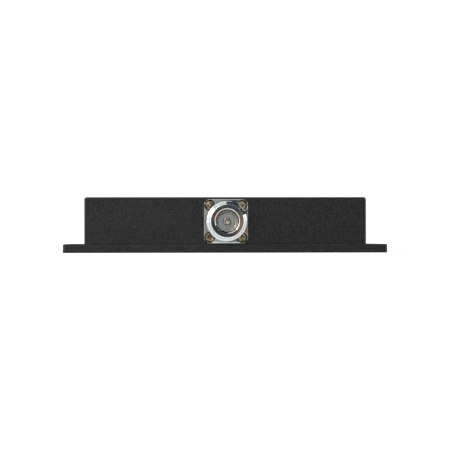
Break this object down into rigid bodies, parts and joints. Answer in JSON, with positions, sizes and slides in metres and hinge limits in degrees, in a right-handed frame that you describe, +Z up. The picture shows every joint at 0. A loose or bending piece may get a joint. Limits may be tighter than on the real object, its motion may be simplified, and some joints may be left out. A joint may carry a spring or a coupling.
{
  "type": "rf power divider",
  "caption": "Flat black microwave power divider on an eared base plate, with a threaded coaxial input jack in front and output jacks behind.",
  "frame": {"origin": "middle of the base plate's underside", "axes": "+X along the width to the right of the input jack seen from its front, -Y the way the input jack faces, +Z up from the base plate"},
  "size_m": [0.1302, 0.1172, 0.0223],
  "materials": {
    "black_paint": "fine-textured satin black paint on aluminium",
    "plated_steel": "bright zinc plate",
    "laminate": "glass-filled microwave laminate",
    "copper": "bare copper, lightly tarnished",
    "resistor": "thick-film ceramic chip with tinned ends",
    "plated_brass": "polished white bronze plate on turned brass",
    "fluoropolymer": "turned fluoropolymer, pale grey",
    "gold_contact": "gold plate on beryllium copper",
    "passivated_steel": "yellow passivated zinc plate"
  },
  "bodies": {
    "root": {"housing": "black_paint", "base_plate": "black_paint", "base_plate_screws": "plated_steel", "circuit_board": "laminate", "divider_traces": "copper", "board_screws": "plated_steel", "isolation_resistor_1": "resistor", "isolation_resistor_2": "resistor", "isolation_resistor_3": "resistor", "isolation_resistor_4": "resistor", "isolation_resistor_5": "resistor", "isolation_resistor_6": "resistor", "input_shell": "plated_brass", "input_insulator": "fluoropolymer", "input_contact": "gold_contact", "input_screws": "passivated_steel", "output_1_shell": "plated_brass", "output_1_insulator": "fluoropolymer", "output_1_contact": "gold_contact", "output_1_screws": "passivated_steel", "output_2_shell": "plated_brass", "output_2_insulator": "fluoropolymer", "output_2_contact": "gold_contact", "output_2_screws": "passivated_steel", "output_3_shell": "plated_brass", "output_3_insulator": "fluoropolymer", "output_3_contact": "gold_contact", "output_3_screws": "passivated_steel", "output_4_shell": "plated_brass", "output_4_insulator": "fluoropolymer", "output_4_contact": "gold_contact", "output_4_screws": "passivated_steel"}
  },
  "joints": []
}
